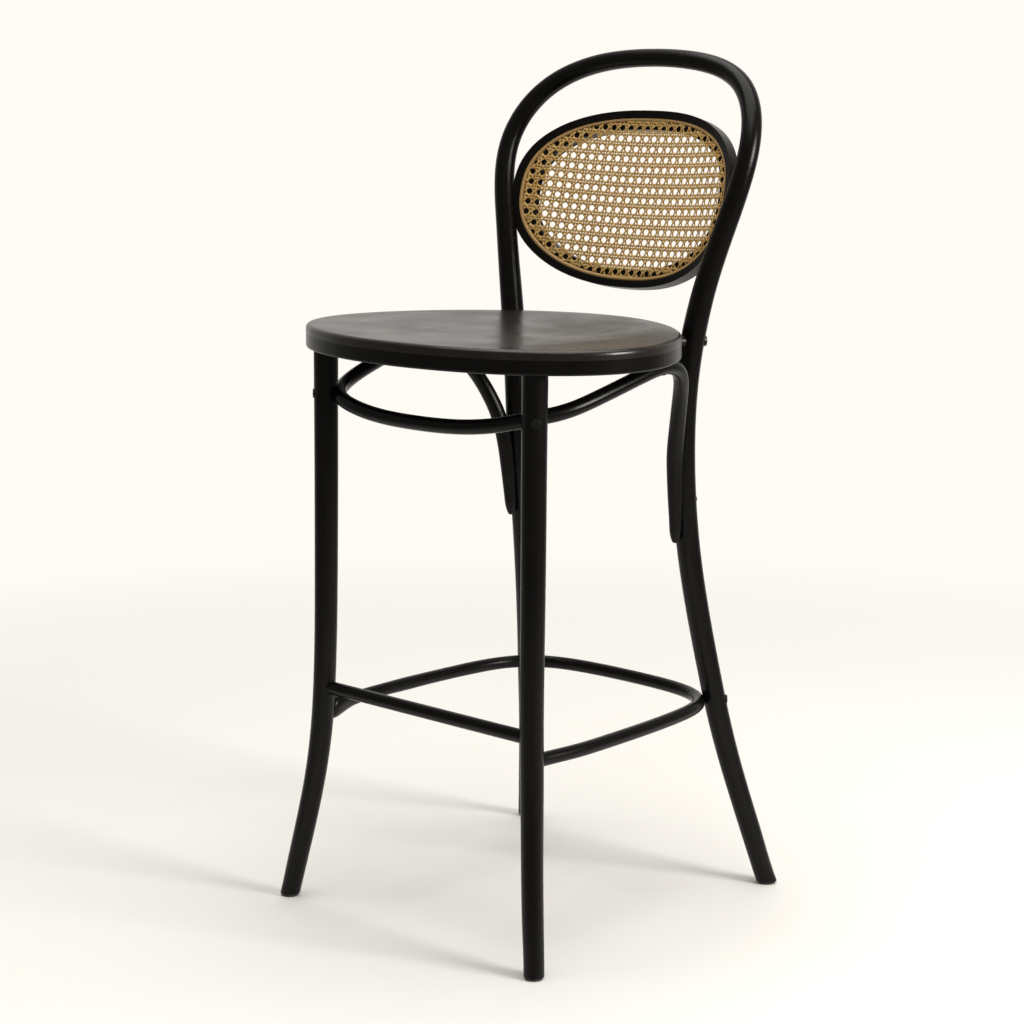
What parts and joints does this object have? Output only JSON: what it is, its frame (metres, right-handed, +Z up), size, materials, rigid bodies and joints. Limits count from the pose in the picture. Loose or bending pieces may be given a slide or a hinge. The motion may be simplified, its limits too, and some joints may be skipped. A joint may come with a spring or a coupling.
{
  "type": "counter stool with footrest",
  "caption": "Bentwood counter stool: rounded seat, bent loop back with an oval woven cane panel, splayed legs, an under-seat brace and a footrest.",
  "frame": {"origin": "centre of the bounding box's bottom, on the floor", "axes": "+Z up; the sitter faces -Y; the sitter's left is +X; the stool mirrors about X = 0"},
  "size_m": [0.4536, 0.4426, 0.9473],
  "materials": {
    "black_lacquered_wood": "satin black lacquer",
    "cane": "natural woven cane",
    "reed": "natural reed",
    "black_steel": "black oxide",
    "dowel_wood": "plain beech",
    "plain_steel": "plain",
    "glide_plastic": "matte"
  },
  "bodies": {
    "root": {"seat_spacers": "black_lacquered_wood", "back_hoop": "black_lacquered_wood", "front_leg_left": "black_lacquered_wood", "front_leg_right": "black_lacquered_wood", "seat_ring": "black_lacquered_wood", "seat_top": "black_lacquered_wood", "seat_brace": "black_lacquered_wood", "footrest_rail": "black_lacquered_wood", "footrest_bar": "black_lacquered_wood", "back_frame": "black_lacquered_wood", "top_screws": "black_steel", "brace_top_screws": "black_steel", "rail_screws": "black_steel", "brace_rear_screws": "black_steel", "brace_front_screws": "black_steel", "seat_bolts": "black_steel", "bolt_nuts": "plain_steel", "glide_nails": "plain_steel", "rail_dowels": "dowel_wood", "panel_dowels": "dowel_wood", "cane_panel": "cane", "cane_spline": "reed", "glide_front_left": "glide_plastic", "glide_front_right": "glide_plastic", "glide_rear_left": "glide_plastic", "glide_rear_right": "glide_plastic"}
  },
  "joints": []
}
